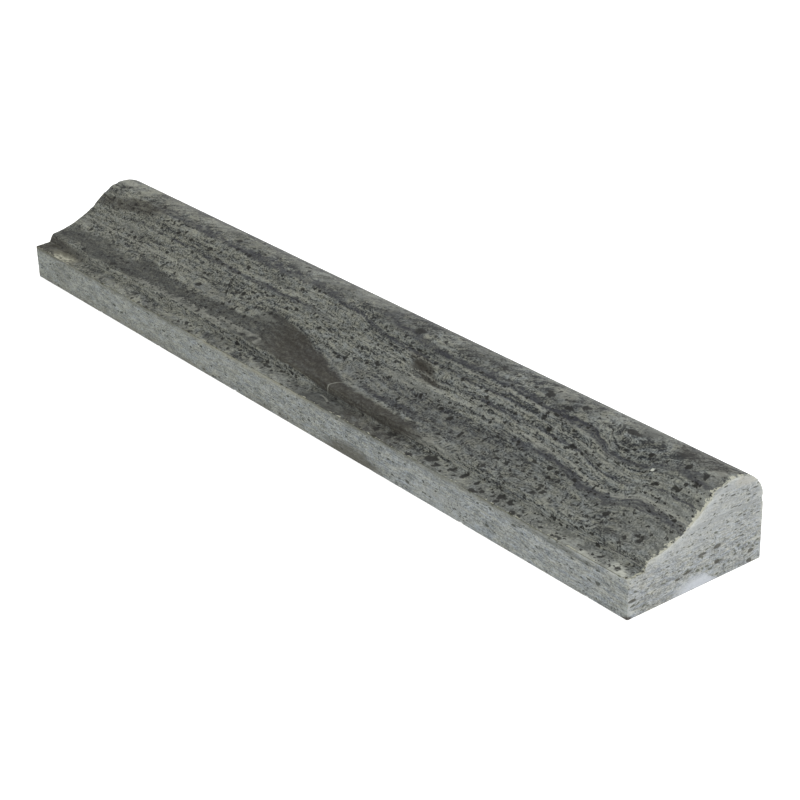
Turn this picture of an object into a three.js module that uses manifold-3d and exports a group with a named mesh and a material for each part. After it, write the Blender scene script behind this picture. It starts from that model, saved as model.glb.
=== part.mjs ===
// Stone liner tile: a rail moulding 305 mm long, worked from one bar of banded slate.
//
// The cross-section is an architectural ogee. From the thin front edge a narrow ledge leads to a
// small step, a long shallow cove rises behind it, and a crown rolls over into the thick back edge.
// The underside is sawn flat, because it is the face that is bonded to the wall. Every arris is
// lightly eased, and handling has knocked small conchoidal flakes off them.
//
// Frame: millimetres, +X along the length, +Y from the thin edge to the thick edge, +Z up from the
// bonding face. The origin is the middle of the bonding face.

import * as THREE from "three";
import { mergeVertices } from "three/addons/utils/BufferGeometryUtils.js";
import Module from "manifold-3d";

// ---- Driving dimensions, in millimetres and degrees ----

const LENGTH = 305;
const WIDTH = 49;
const HEIGHT = 28;

const FRONT_EDGE_HEIGHT = 11.8;
const LEDGE_WIDTH = 5.6;
const LEDGE_RISE = 0.3;
const STEP_LEAN = 68; // the riser's angle above the ledge
const STEP_TOE_RADIUS = 0.6;
const STEP_NOSE_RADIUS = 1.9;

const COVE_START = { y: 8.2, z: 15.0 }; // measured from the thin edge and the bonding face
const COVE_RADIUS = 37.8;
const COVE_START_SLOPE = 8;
const OGEE_SLOPE = 38; // the steepest stretch, where the cove hands over to the crown
const CROWN_RADIUS = 13.6;
const BACK_ROUND_RADIUS = 10.4;

const ARRIS = 0.3; // the eased edge left by the honing pad
const END_ARRIS = 0.2; // stays below ARRIS, so that the inset end outline never folds over itself
const MAIN_ARC_STEPS = 14;
const SMALL_ARC_STEPS = 3;
const END_ARRIS_STEPS = 2;

// Flakes lost along the arrises: how many on each, and how long and deep they run.
const FLAKE_SEED = 7;
const FLAKES = { rightEnd: 14, leftEnd: 5, ledgeArris: 12, baseArris: 6 };
const FLAKE_LENGTH = { min: 1.2, max: 3.8 };
const FLAKE_DEPTH = { min: 0.2, max: 0.55 };
const CORNER_CLEARANCE = 4; // an end's small flakes stay this far behind its front corners
const LUMPINESS = 0.13; // how far the cutter's surface strays from an ellipsoid, as a share of its radius

// The three places where more than a flake is gone: a bruise on the ledge near the left end, and the
// two front corners of the right end. A reach is half the scar's width.
const LEDGE_BRUISE = { length: 15, reach: 2.6, depth: 0.4 };
const LEDGE_BRUISE_PLACE = { x: -136, y: 2.1 }; // y is measured from the thin edge
const BASE_CORNER_SPALL = { length: 4.0, reach: 1.2, depth: 0.35 };
const LEDGE_CORNER_SPALL = { length: 3.0, reach: 1.5, depth: 0.8 };

const FRONT = -WIDTH / 2;
const BACK = WIDTH / 2;
const NEAR_END = LENGTH / 2;

// ---- Cross-section ----

const radians = THREE.MathUtils.degToRad;
const point = (y, z) => new THREE.Vector2(y, z);

// Points on a circle from one angle to another, in degrees, both ends included.
function arc(centre, radius, from, to, steps) {
  const points = [];
  for (let i = 0; i <= steps; i++) {
    const angle = radians(THREE.MathUtils.lerp(from, to, i / steps));
    points.push(point(centre.x + radius * Math.cos(angle), centre.y + radius * Math.sin(angle)));
  }
  return points;
}

// The arc of a given radius that rounds off a corner between two straight stretches.
function rounded(before, corner, after, radius, steps = SMALL_ARC_STEPS) {
  const inward = before.clone().sub(corner).normalize();
  const outward = after.clone().sub(corner).normalize();
  const halfAngle = Math.acos(inward.dot(outward)) / 2;
  const bisector = inward.clone().add(outward).normalize();
  const centre = corner.clone().addScaledVector(bisector, radius / Math.sin(halfAngle));
  const tangent = radius / Math.tan(halfAngle);
  const start = corner.clone().addScaledVector(inward, tangent).sub(centre);
  const end = corner.clone().addScaledVector(outward, tangent).sub(centre);
  const sweep = Math.atan2(start.cross(end), start.dot(end));
  const points = [];
  for (let i = 0; i <= steps; i++) {
    points.push(start.clone().rotateAround(point(0, 0), (sweep * i) / steps).add(centre));
  }
  return points;
}

// The outline, counter-clockwise from the front foot: base, back edge, crown, cove, step, ledge.
function sectionOutline() {
  const frontFoot = point(FRONT, 0);
  const backFoot = point(BACK, 0);
  const backRound = point(BACK - BACK_ROUND_RADIUS, HEIGHT - BACK_ROUND_RADIUS);

  // The cove's centre lies above it. Its far end has the ogee's slope.
  const coveStart = point(FRONT + COVE_START.y, COVE_START.z);
  const coveCentre = point(
    coveStart.x - COVE_RADIUS * Math.sin(radians(COVE_START_SLOPE)),
    coveStart.y + COVE_RADIUS * Math.cos(radians(COVE_START_SLOPE)),
  );
  const coveEnd = point(
    coveCentre.x + COVE_RADIUS * Math.sin(radians(OGEE_SLOPE)),
    coveCentre.y - COVE_RADIUS * Math.cos(radians(OGEE_SLOPE)),
  );

  // A straight run at the ogee's slope climbs from the cove to where the crown's arc begins.
  const crownStartHeight = HEIGHT - CROWN_RADIUS * (1 - Math.cos(radians(OGEE_SLOPE)));
  const run = (crownStartHeight - coveEnd.y) / Math.tan(radians(OGEE_SLOPE));
  const crownCentre = point(
    coveEnd.x + run + CROWN_RADIUS * Math.sin(radians(OGEE_SLOPE)),
    HEIGHT - CROWN_RADIUS,
  );

  // The riser leans back from the ledge and meets the cove's first tangent at the nose.
  const ledgeFront = point(FRONT, FRONT_EDGE_HEIGHT);
  const toe = point(FRONT + LEDGE_WIDTH, FRONT_EDGE_HEIGHT + LEDGE_RISE);
  const noseRise = coveStart.y - toe.y - (coveStart.x - toe.x) * Math.tan(radians(COVE_START_SLOPE));
  const noseRun = noseRise / (Math.tan(radians(STEP_LEAN)) - Math.tan(radians(COVE_START_SLOPE)));
  const nose = point(toe.x + noseRun, toe.y + noseRun * Math.tan(radians(STEP_LEAN)));

  return [
    ...rounded(ledgeFront, frontFoot, backFoot, ARRIS),
    ...rounded(frontFoot, backFoot, point(BACK, HEIGHT), ARRIS),
    ...arc(backRound, BACK_ROUND_RADIUS, 0, 90, MAIN_ARC_STEPS),
    ...arc(crownCentre, CROWN_RADIUS, 90, 90 + OGEE_SLOPE, MAIN_ARC_STEPS),
    ...arc(coveCentre, COVE_RADIUS, OGEE_SLOPE - 90, COVE_START_SLOPE - 90, MAIN_ARC_STEPS),
    ...rounded(coveStart, nose, toe, STEP_NOSE_RADIUS),
    ...rounded(nose, toe, ledgeFront, STEP_TOE_RADIUS),
    ...rounded(toe, ledgeFront, frontFoot, ARRIS),
  ];
}

// ---- Solids ----

const wasm = await Module();
wasm.setup();

function solidOf(geometry) {
  const bare = geometry.clone();
  bare.deleteAttribute("normal");
  bare.deleteAttribute("uv");
  const merged = mergeVertices(bare, 1e-4);
  const vertProperties = new Float32Array(merged.attributes.position.array);
  const triVerts = new Uint32Array(merged.index.array);
  return new wasm.Manifold(new wasm.Mesh({ numProp: 3, vertProperties, triVerts }));
}

function geometryOf(solid) {
  const mesh = solid.getMesh();
  const geometry = new THREE.BufferGeometry();
  geometry.setAttribute("position", new THREE.BufferAttribute(mesh.vertProperties, 3));
  geometry.setIndex(new THREE.BufferAttribute(mesh.triVerts, 1));
  const flat = geometry.toNonIndexed();
  flat.computeVertexNormals();
  return flat;
}

// The bar before any flake is lost: the section run along X, with both end arrises eased.
function mouldedBar(outline) {
  const geometry = new THREE.ExtrudeGeometry(new THREE.Shape(outline), {
    depth: LENGTH - 2 * END_ARRIS,
    steps: 1,
    bevelEnabled: true,
    bevelThickness: END_ARRIS,
    bevelSize: END_ARRIS,
    bevelOffset: -END_ARRIS,
    bevelSegments: END_ARRIS_STEPS,
  });
  const alongX = new THREE.Matrix4().makeBasis(
    new THREE.Vector3(0, 1, 0),
    new THREE.Vector3(0, 0, 1),
    new THREE.Vector3(1, 0, 0),
  );
  geometry.applyMatrix4(alongX);
  geometry.translate(END_ARRIS - NEAR_END, 0, 0);
  return solidOf(geometry);
}

// Park-Miller generator, so that the flakes fall in the same places each time.
function makeRandom(seed) {
  let state = seed;
  return (low = 0, high = 1) => {
    state = (state * 16807) % 2147483647;
    return low + ((high - low) * state) / 2147483647;
  };
}

// A ball of radius 1 whose vertices are shared and stray a little from its surface.
function lumpyBall(random) {
  const loose = new THREE.IcosahedronGeometry(1, 1);
  loose.deleteAttribute("normal");
  loose.deleteAttribute("uv");
  const ball = mergeVertices(loose);
  const position = ball.attributes.position;
  const vertex = new THREE.Vector3();
  for (let i = 0; i < position.count; i++) {
    vertex.fromBufferAttribute(position, i).multiplyScalar(1 + random(-LUMPINESS, LUMPINESS));
    position.setXYZ(i, vertex.x, vertex.y, vertex.z);
  }
  return ball;
}

// A lumpy pebble whose lower side, sunk into an arris, leaves one conchoidal flake scar.
// Its x runs along the arris, and its z points out of the stone.
function flakeCutter(arrisPoint, along, outward, { length, reach, depth }, random) {
  const pebble = lumpyBall(random);
  const height = 2 * depth;
  pebble.scale(length / 2, reach, height);
  const across = new THREE.Vector3().crossVectors(outward, along).normalize();
  pebble.applyMatrix4(new THREE.Matrix4().makeBasis(along, across, outward));
  const centre = arrisPoint.clone().addScaledVector(outward, height - depth);
  pebble.translate(centre.x, centre.y, centre.z);
  return solidOf(pebble);
}

// A flake of random size on an arris, given the outward normals of the two faces that meet there.
function smallFlake(arrisPoint, along, faceNormals, random) {
  const tilt = random(0.35, 0.65);
  const outward = new THREE.Vector3()
    .addScaledVector(faceNormals[0], tilt)
    .addScaledVector(faceNormals[1], 1 - tilt)
    .normalize();
  const length = random(FLAKE_LENGTH.min, FLAKE_LENGTH.max);
  const depth = random(FLAKE_DEPTH.min, FLAKE_DEPTH.max);
  const size = { length, reach: 0.4 * length, depth };
  return flakeCutter(arrisPoint, along, outward, size, random);
}

// Flakes round one end: at random places on the outline, apart from its base and its front corners.
function endFlakes(outline, end, count, random) {
  const outsideOfEnd = new THREE.Vector3(end, 0, 0);
  const cutters = [];
  while (cutters.length < count) {
    const i = Math.floor(random(0, outline.length));
    const from = outline[i];
    const to = outline[(i + 1) % outline.length];
    const place = from.clone().lerp(to, random(0.1, 0.9));
    if (place.y < FLAKE_DEPTH.max || place.x < FRONT + CORNER_CLEARANCE) continue;
    const step = to.clone().sub(from).normalize();
    const along = new THREE.Vector3(0, step.x, step.y);
    const outsideOfSection = new THREE.Vector3(0, step.y, -step.x);
    const arrisPoint = new THREE.Vector3(end * NEAR_END, place.x, place.y);
    cutters.push(smallFlake(arrisPoint, along, [outsideOfEnd, outsideOfSection], random));
  }
  return cutters;
}

// Flakes along a straight arris that runs the length of the bar.
function lengthwiseFlakes(count, y, z, faceNormals, random) {
  const along = new THREE.Vector3(1, 0, 0);
  const cutters = [];
  for (let i = 0; i < count; i++) {
    const slot = (i + random(0.1, 0.9)) / count;
    const x = THREE.MathUtils.lerp(-NEAR_END, NEAR_END, slot);
    cutters.push(smallFlake(new THREE.Vector3(x, y, z), along, faceNormals, random));
  }
  return cutters;
}

function damage(outline) {
  const random = makeRandom(FLAKE_SEED);
  const up = new THREE.Vector3(0, 0, 1);
  const down = new THREE.Vector3(0, 0, -1);
  const forward = new THREE.Vector3(0, -1, 0);
  const backward = new THREE.Vector3(0, 1, 0);

  const bruise = flakeCutter(
    new THREE.Vector3(LEDGE_BRUISE_PLACE.x, FRONT + LEDGE_BRUISE_PLACE.y, FRONT_EDGE_HEIGHT),
    new THREE.Vector3(1, 0, 0),
    up,
    LEDGE_BRUISE,
    random,
  );
  const aroundCorner = new THREE.Vector3(1, 1, 0).normalize();
  const baseCornerSpall = flakeCutter(
    new THREE.Vector3(NEAR_END, FRONT, 0),
    aroundCorner,
    new THREE.Vector3(1, -1, -1).normalize(),
    BASE_CORNER_SPALL,
    random,
  );
  const ledgeCornerSpall = flakeCutter(
    new THREE.Vector3(NEAR_END, FRONT, FRONT_EDGE_HEIGHT),
    aroundCorner,
    new THREE.Vector3(1, -1, 1).normalize(),
    LEDGE_CORNER_SPALL,
    random,
  );
  return [
    bruise,
    baseCornerSpall,
    ledgeCornerSpall,
    ...endFlakes(outline, 1, FLAKES.rightEnd, random),
    ...endFlakes(outline, -1, FLAKES.leftEnd, random),
    ...lengthwiseFlakes(FLAKES.ledgeArris, FRONT, FRONT_EDGE_HEIGHT, [forward, up], random),
    ...lengthwiseFlakes(FLAKES.baseArris, FRONT, 0, [forward, down], random),
    ...lengthwiseFlakes(FLAKES.baseArris, BACK, 0, [backward, down], random),
  ];
}

// ---- The part ----

const outline = sectionOutline();
const tile = mouldedBar(outline).subtract(wasm.Manifold.union(damage(outline)));

const slate = new THREE.MeshStandardMaterial({ color: 0x6b6d69, roughness: 0.62, metalness: 0 });

const linerTile = new THREE.Mesh(geometryOf(tile), slate);
linerTile.name = "liner_tile";

const part = new THREE.Group();
part.add(linerTile);

export default part;
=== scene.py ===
"""Looks of the stone liner tile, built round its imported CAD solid.

The tile is one bar of banded slate. Its moulded side is honed and sealed, so the stone is dark there.
Its long edges, ends and underside are sawn, so they are dusty and pale. All three finishes read one
solid pattern of beds, veins, lenses and clots, so the pattern runs through the stone from face to face.

Lengths are in millimetres until they reach the scene, which is in metres. +X runs along the bar,
+Y from its thin edge to its thick edge, and +Z up from its bonding face.
"""

import math

import bpy
from mathutils import Matrix, Vector


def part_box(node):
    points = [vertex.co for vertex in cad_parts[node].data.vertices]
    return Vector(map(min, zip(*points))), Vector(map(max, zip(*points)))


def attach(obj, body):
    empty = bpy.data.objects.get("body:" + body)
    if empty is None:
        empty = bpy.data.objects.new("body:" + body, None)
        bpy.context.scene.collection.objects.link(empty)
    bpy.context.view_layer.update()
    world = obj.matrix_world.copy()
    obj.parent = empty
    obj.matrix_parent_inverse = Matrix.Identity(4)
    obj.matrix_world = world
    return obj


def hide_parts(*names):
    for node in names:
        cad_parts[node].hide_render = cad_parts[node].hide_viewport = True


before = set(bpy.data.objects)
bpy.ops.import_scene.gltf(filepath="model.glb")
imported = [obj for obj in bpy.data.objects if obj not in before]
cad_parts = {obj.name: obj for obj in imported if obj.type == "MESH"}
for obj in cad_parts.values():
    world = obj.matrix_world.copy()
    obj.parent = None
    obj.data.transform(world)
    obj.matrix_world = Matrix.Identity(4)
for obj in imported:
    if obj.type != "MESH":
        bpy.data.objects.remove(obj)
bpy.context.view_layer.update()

MM = 0.001
TILE = "liner_tile"

# ---- Section of the moulding, with the CAD solid's driving dimensions ----

FRONT_EDGE_HEIGHT = 11.8
LEDGE_WIDTH = 5.6
LEDGE_RISE = 0.3
STEP_LEAN = 68
STEP_TOE_RADIUS = 0.6
STEP_NOSE_RADIUS = 1.9
COVE_START = Vector((8.2, 15.0))
COVE_RADIUS = 37.8
COVE_START_SLOPE = 8
OGEE_SLOPE = 38
CROWN_RADIUS = 13.6
BACK_ROUND_RADIUS = 10.4

least, most = (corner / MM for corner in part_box(TILE))
LENGTH = most.x - least.x
FRONT, BACK = least.y, most.y
HEIGHT = most.z
END = LENGTH / 2

# Straight steps in a broad arc and in a small round.
ARC_STEPS = 60
ROUND_STEPS = 12

# The fine surface lies this far inside the CAD solid, so that the solid cuts its arrises and flakes.
INSET = 0.03
GRID = {"Vertices along": 220, "Vertices over": 150, "Vertices up": 24}

# Vertices of the solid this near are one. Edges that turn by more degrees than this stay crisp.
WELD = 0.001
CRISP_ANGLE = 38

# How deep the surface's low waves go, and how far nibbles wear its arrises back.
RELIEF = 0.05
ARRIS_WEAR = 0.16
WEAR_SEED = 3.0


def put(name, data):
    """A new object in the scene."""
    thing = bpy.data.objects.new(name, data)
    bpy.context.scene.collection.objects.link(thing)
    return thing


# ---- Camera, lights and floor ----

CAMERA = {"azimuth": 52.4, "elevation": 25.79, "roll": -1.31, "distance": 593.3, "lens": 88.27}
CAMERA_TARGET = Vector((28.83, 0, 8.92))

# The studio, in metres and watts.
FLOOR_REACH = 6.0
SOFTBOXES = (
    {"name": "softbox over the right end", "place": (0.9, -0.5, 1.1), "size": 1.0, "power": 12},
    {"name": "softbox behind", "place": (-0.5, 0.9, 1.0), "size": 1.2, "power": 6},
)


def add_camera():
    azimuth = math.radians(CAMERA["azimuth"])
    elevation = math.radians(CAMERA["elevation"])
    back = Vector((
        math.sin(azimuth) * math.cos(elevation),
        -math.cos(azimuth) * math.cos(elevation),
        math.sin(elevation),
    ))
    camera = put("camera", bpy.data.cameras.new("camera"))
    camera.data.lens = CAMERA["lens"]
    camera.data.clip_start = 0.01
    camera.data.clip_end = 20
    turn = back.to_track_quat("Z", "Y").to_matrix().to_4x4()
    place = Matrix.Translation((CAMERA_TARGET + back * CAMERA["distance"]) * MM)
    camera.matrix_world = place @ turn @ Matrix.Rotation(math.radians(CAMERA["roll"]), 4, "Z")
    bpy.context.scene.camera = camera


def add_floor():
    mesh = bpy.data.meshes.new("floor")
    corners = [(x * FLOOR_REACH, y * FLOOR_REACH, 0) for x, y in ((-1, -1), (1, -1), (1, 1), (-1, 1))]
    mesh.from_pydata(corners, [], [(0, 1, 2, 3)])
    paper = bpy.data.materials.new("white paper sweep")
    paper.use_nodes = True
    shader = paper.node_tree.nodes["Principled BSDF"]
    shader.inputs["Base Color"].default_value = (0.85, 0.85, 0.85, 1)
    shader.inputs["Roughness"].default_value = 0.9
    shader.inputs["Specular IOR Level"].default_value = 0.0
    shader.inputs["Emission Color"].default_value = (1, 1, 1, 1)
    shader.inputs["Emission Strength"].default_value = 0.45
    mesh.materials.append(paper)
    put("floor", mesh)


def add_lights():
    scene = bpy.context.scene
    scene.view_settings.view_transform = "Standard"
    scene.world = bpy.data.worlds.new("white studio")
    scene.world.use_nodes = True
    background = scene.world.node_tree.nodes["Background"]
    background.inputs["Color"].default_value = (1, 1, 1, 1)
    background.inputs["Strength"].default_value = 0.8
    for softbox in SOFTBOXES:
        light = bpy.data.lights.new(softbox["name"], "AREA")
        light.size = softbox["size"]
        light.energy = softbox["power"]
        lamp = put(softbox["name"], light)
        lamp.location = softbox["place"]
        lamp.rotation_euler = lamp.location.to_track_quat("Z", "Y").to_euler()


# ---- The section as a curve ----

def arc(centre, radius, start, end, steps):
    """Points on a circle from one angle to another, in degrees, both ends included."""
    angles = (math.radians(start + (end - start) * i / steps) for i in range(steps + 1))
    return [centre + radius * Vector((math.cos(a), math.sin(a))) for a in angles]


def rounded(before, corner, after, radius):
    """The arc of a given radius that rounds off a corner between two straight stretches."""
    inward = (before - corner).normalized()
    outward = (after - corner).normalized()
    half_angle = inward.angle(outward) / 2
    centre = corner + (inward + outward).normalized() * radius / math.sin(half_angle)
    start = corner + inward * radius / math.tan(half_angle) - centre
    end = corner + outward * radius / math.tan(half_angle) - centre
    first = math.degrees(math.atan2(start.y, start.x))
    sweep = math.degrees(-start.angle_signed(end))
    return arc(centre, radius, first, first + sweep, ROUND_STEPS)


def moulding_points():
    """The moulded side, from the ledge's front arris over the crown to the top of the thick edge."""
    slope = math.radians(COVE_START_SLOPE)
    ogee = math.radians(OGEE_SLOPE)
    cove_start = Vector((FRONT, 0)) + COVE_START
    cove_centre = cove_start + COVE_RADIUS * Vector((-math.sin(slope), math.cos(slope)))
    cove_end = cove_centre + COVE_RADIUS * Vector((math.sin(ogee), -math.cos(ogee)))

    rise = HEIGHT - CROWN_RADIUS * (1 - math.cos(ogee)) - cove_end.y
    crown_x = cove_end.x + rise / math.tan(ogee) + CROWN_RADIUS * math.sin(ogee)
    crown_centre = Vector((crown_x, HEIGHT - CROWN_RADIUS))
    back_centre = Vector((BACK - BACK_ROUND_RADIUS, HEIGHT - BACK_ROUND_RADIUS))

    ledge_front = Vector((FRONT, FRONT_EDGE_HEIGHT))
    toe = ledge_front + Vector((LEDGE_WIDTH, LEDGE_RISE))
    lean = math.tan(math.radians(STEP_LEAN))
    nose_rise = cove_start.y - toe.y - (cove_start.x - toe.x) * math.tan(slope)
    nose_run = nose_rise / (lean - math.tan(slope))
    nose = toe + Vector((nose_run, nose_run * lean))

    return [
        ledge_front,
        *rounded(ledge_front, toe, nose, STEP_TOE_RADIUS),
        *rounded(toe, nose, cove_start, STEP_NOSE_RADIUS),
        *arc(cove_centre, COVE_RADIUS, COVE_START_SLOPE - 90, OGEE_SLOPE - 90, ARC_STEPS),
        *arc(crown_centre, CROWN_RADIUS, 90 + OGEE_SLOPE, 90, ARC_STEPS),
        *arc(back_centre, BACK_ROUND_RADIUS, 90, 0, ARC_STEPS),
    ]


def section_object():
    points = moulding_points()
    curve = bpy.data.curves.new("moulding section", "CURVE")
    curve.dimensions = "3D"
    spline = curve.splines.new("POLY")
    spline.points.add(len(points) - 1)
    for spot, point in zip(spline.points, points):
        spot.co = (0, point.x * MM, point.y * MM, 1)
    return put("moulding section", curve)


# ---- Trees ----

def add(tree, kind, inputs=None, output=0, **settings):
    """Add a node, and return one of its outputs, from which .node.outputs gives them all.

    An input is a value, or the output that it is linked from.
    """
    node = tree.nodes.new(kind)
    for name, value in settings.items():
        setattr(node, name, value)
    for key, value in (inputs or {}).items():
        if isinstance(value, bpy.types.NodeSocket):
            tree.links.new(value, node.inputs[key])
        else:
            node.inputs[key].default_value = value
    return node.outputs[output]


MATH = "ShaderNodeMath"
VECTOR_MATH = "ShaderNodeVectorMath"
SEPARATE = "ShaderNodeSeparateXYZ"
COMBINE = "ShaderNodeCombineXYZ"
MAP_RANGE = "ShaderNodeMapRange"
NOISE = "ShaderNodeTexNoise"
STORE = "GeometryNodeStoreNamedAttribute"
MIX = "ShaderNodeMix"


def add_sockets(tree, direction, **names_of_kind):
    """Give a tree its inputs or outputs, as names for each kind of socket."""
    for kind, names in names_of_kind.items():
        for name in names:
            tree.interface.new_socket(name, in_out=direction, socket_type="NodeSocket" + kind)


# The stone's finishes, numbered by their place here in the mesh attribute "finish".
FINISHES = ("Sawn edge", "Honed", "Broken", "Sawn end with painted light")


def arris_lines():
    """Edges that run where two faces meet: round both ends, and along the bar at its square corners."""
    ring = [(FRONT, 0), *((p.x, p.y) for p in moulding_points()), (BACK, 0)]
    count = len(ring)
    vertices = [(x * MM, y * MM, z * MM) for x in (-END, END) for y, z in ring]
    edges = []
    for start in (0, count):
        edges += [(start + i, start + (i + 1) % count) for i in range(count)]
    for corner in (0, 1, count - 1):
        edges.append((corner, count + corner))
    mesh = bpy.data.meshes.new("arris lines")
    mesh.from_pydata(vertices, edges, [])
    return put("arris lines", mesh)


def moulding_tree():
    """A block gridded on all six sides, bent to the section, cut by the CAD solid and then worn."""
    tree = bpy.data.node_groups.new("moulded stone bar", "GeometryNodeTree")
    objects = ("Section", "Solid", "Arris lines")
    add_sockets(tree, "OUTPUT", Geometry=["Geometry"])
    add_sockets(
        tree, "INPUT",
        Object=objects,
        Float=["Length", "Front", "Back", "Inset", "Relief", "Arris wear", "Seed"],
        Int=GRID,
        Material=FINISHES,
    )
    given = tree.nodes.new("NodeGroupInput").outputs
    section, solid, lines = (
        add(tree, "GeometryNodeObjectInfo", {"Object": given[name]}, output="Geometry")
        for name in objects
    )

    # The block's coordinates: along the bar from -0.5 to 0.5, over the moulding and up from 0 to 1.
    block = add(tree, "GeometryNodeMeshCube", {
        "Size": (1, 1, 1),
        "Vertices X": given["Vertices along"],
        "Vertices Y": given["Vertices over"],
        "Vertices Z": given["Vertices up"],
    })
    spot = add(tree, "GeometryNodeInputPosition")
    block_x, block_y, block_z = add(tree, SEPARATE, {0: spot}).node.outputs
    over = add(tree, MATH, {0: block_y, 1: 0.5}, operation="ADD")
    up = add(tree, MATH, {0: block_z, 1: 0.5}, operation="ADD")

    # Only the block's top side is honed. Its other sides keep the mark of the saw.
    side = add(tree, "GeometryNodeInputNormal", output="Normal")
    facing_x, _, facing_z = add(tree, SEPARATE, {0: side}).node.outputs
    on_top = add(tree, MATH, {0: facing_z, 1: 0.5}, operation="GREATER_THAN")
    endways = add(tree, MATH, {0: facing_x}, operation="ABSOLUTE")
    on_end = add(tree, MATH, {0: endways, 1: 0.5}, operation="GREATER_THAN")
    surface = add(tree, MATH, {
        0: on_end, 1: FINISHES.index("Sawn end with painted light"), 2: on_top,
    }, operation="MULTIPLY_ADD")
    sided = add(tree, STORE, {
        "Geometry": block, "Name": "finish", "Value": surface,
    }, data_type="INT", domain="FACE")

    # Rows crowd towards the ends: a straight ramp plus a sine that flattens there.
    crowding = 0.74
    swing = add(tree, MATH, {0: block_x, 1: math.pi}, operation="MULTIPLY")
    sine = add(tree, MATH, {0: swing}, operation="SINE")
    half_sine = add(tree, MATH, {0: sine, 1: 0.5 * crowding}, operation="MULTIPLY")
    along = add(tree, MATH, {0: block_x, 1: 1 - crowding, 2: half_sine}, operation="MULTIPLY_ADD")
    bar = add(tree, MATH, {0: given["Inset"], 1: -2.0, 2: given["Length"]}, operation="MULTIPLY_ADD")
    x = add(tree, MATH, {0: along, 1: bar}, operation="MULTIPLY")

    # Over the moulding: a point of the section, moved in by the inset across its direction.
    sample = add(tree, "GeometryNodeSampleCurve", {"Curves": section, "Factor": over}).node.outputs
    inward = add(tree, VECTOR_MATH, {0: sample["Tangent"], 1: (1, 0, 0)}, operation="CROSS_PRODUCT")
    step_in = add(tree, VECTOR_MATH, {0: inward, "Scale": given["Inset"]}, operation="SCALE")
    moulded = add(tree, VECTOR_MATH, {0: sample["Position"], 1: step_in}, operation="ADD")
    _, section_y, section_z = add(tree, SEPARATE, {0: moulded}).node.outputs
    front = add(tree, MATH, {0: given["Front"], 1: given["Inset"]}, operation="ADD")
    back = add(tree, MATH, {0: given["Back"], 1: given["Inset"]}, operation="SUBTRACT")
    top_y = add(tree, MATH, {0: section_y, 1: front}, operation="MAXIMUM")
    base_y = add(tree, MAP_RANGE, {"Value": over, "To Min": front, "To Max": back})
    y = add(tree, MAP_RANGE, {"Value": up, "To Min": base_y, "To Max": top_y})
    z = add(tree, MAP_RANGE, {"Value": up, "To Min": given["Inset"], "To Max": section_z})
    place = add(tree, COMBINE, {"X": x, "Y": y, "Z": z})
    bent = add(tree, "GeometryNodeSetPosition", {"Geometry": sided, "Position": place})

    # The CAD solid cuts the arrises and the flakes, and its own surface is left where it cut.
    plain = add(tree, "GeometryNodeRemoveAttribute", {"Geometry": solid, "Name": "custom_normal"})
    welded = add(tree, "GeometryNodeMergeByDistance", {"Geometry": plain, "Distance": WELD * MM})
    broken = add(tree, STORE, {
        "Geometry": welded, "Name": "finish", "Value": FINISHES.index("Broken"),
    }, data_type="INT", domain="FACE")
    cut = add(tree, "GeometryNodeMeshBoolean", {"Mesh 2": bent}, operation="INTERSECT", solver="MANIFOLD")
    tree.links.new(broken, cut.node.inputs["Mesh 2"])

    # How far each vertex is from the nearest arris, in millimetres.
    reach = add(tree, "GeometryNodeProximity", {0: lines}, output="Distance", target_element="EDGES")
    reach_mm = add(tree, MATH, {0: reach, 1: 1 / MM}, operation="MULTIPLY")
    marked = add(tree, STORE, {
        "Geometry": cut, "Name": "arris", "Value": reach_mm,
    }, data_type="FLOAT", domain="POINT")
    near_arris = add(tree, MAP_RANGE, {
        "Value": reach_mm, "From Min": 1.3, "From Max": 0.1,
    }, interpolation_type="SMOOTHSTEP")

    # Relief: low waves everywhere, and nibbles that bite into the arrises.
    waves = add(tree, NOISE, {
        "Vector": spot, "Scale": 260, "Detail": 3, "Roughness": 0.6, "W": given["Seed"],
    }, noise_dimensions="4D")
    wave_height = add(tree, MAP_RANGE, {"Value": waves, "To Min": -1, "To Max": 0.35})
    relief = add(tree, MATH, {0: wave_height, 1: given["Relief"]}, operation="MULTIPLY")
    nibbles = add(tree, NOISE, {
        "Vector": spot, "Scale": 520, "Detail": 2, "W": given["Seed"],
    }, noise_dimensions="4D")
    bite = add(tree, MAP_RANGE, {"Value": nibbles, "From Min": 0.42, "From Max": 0.72, "To Max": -1})
    worn = add(tree, MATH, {0: bite, 1: near_arris}, operation="MULTIPLY")
    shift = add(tree, MATH, {0: worn, 1: given["Arris wear"], 2: relief}, operation="MULTIPLY_ADD")
    normal = add(tree, "GeometryNodeInputNormal", output="Normal")
    offset = add(tree, VECTOR_MATH, {0: normal, "Scale": shift}, operation="SCALE")
    worked = add(tree, "GeometryNodeSetPosition", {"Geometry": marked, "Offset": offset})

    # Smooth, but for true edges.
    smooth = add(tree, "GeometryNodeSetShadeSmooth", {"Geometry": worked})
    angle = add(tree, "GeometryNodeInputMeshEdgeAngle")
    crisp = add(tree, MATH, {0: angle, 1: math.radians(CRISP_ANGLE)}, operation="GREATER_THAN")
    edged = add(tree, "GeometryNodeSetShadeSmooth", {
        "Geometry": smooth, "Selection": crisp, "Shade Smooth": False,
    }, domain="EDGE")

    made = add(tree, "GeometryNodeRealizeInstances", {"Geometry": edged})
    finish = add(tree, "GeometryNodeInputNamedAttribute", {"Name": "finish"}, data_type="INT")
    for number, name in enumerate(FINISHES):
        chosen = add(tree, "FunctionNodeCompare", {
            "A": finish, "B": number,
        }, data_type="INT", operation="EQUAL")
        made = add(tree, "GeometryNodeSetMaterial", {
            "Geometry": made, "Selection": chosen, "Material": given[name],
        })
    tree.links.new(made, tree.nodes.new("NodeGroupOutput").inputs[0])
    return tree


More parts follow.
